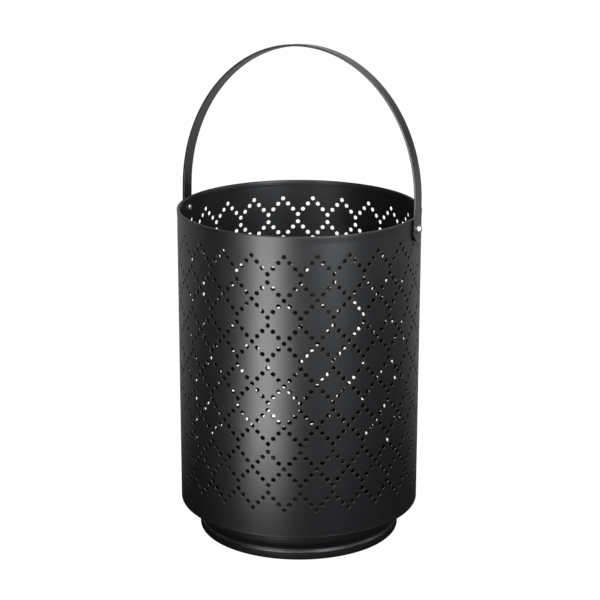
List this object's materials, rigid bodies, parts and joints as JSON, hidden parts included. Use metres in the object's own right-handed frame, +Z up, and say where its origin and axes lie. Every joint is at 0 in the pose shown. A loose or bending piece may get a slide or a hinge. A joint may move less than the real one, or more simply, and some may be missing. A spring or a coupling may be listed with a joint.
{
  "type": "umbrella stand",
  "caption": "Open-topped perforated sheet-metal cylinder on a stepped foot, with a swinging strap handle; holds umbrellas, or a light like a lantern.",
  "frame": {"origin": "centre of the foot's resting ring, on the floor", "axes": "+Z up along the cylinder's axis, +X along the handle's pivot axis towards rivet_right, +Y square to both"},
  "size_m": [0.2322, 0.2206, 0.451],
  "materials": {
    "black_lacquer": "satin black lacquer on sheet steel",
    "bare_steel": "unpainted zinc-bright rivet steel"
  },
  "bodies": {
    "stand": {"perforated_wall": "black_lacquer", "base_pan": "black_lacquer", "rivet_right": "bare_steel", "rivet_left": "bare_steel", "washer_right": "black_lacquer", "washer_left": "black_lacquer"},
    "handle": {"handle_strap": "black_lacquer"}
  },
  "joints": [
    {"name": "handle_swing", "type": "hinge", "parent": "stand", "child": "handle", "pos_m": [0, 0, 0.2941], "axis": [1, 0, 0], "range_deg": [-127, 132]}
  ]
}
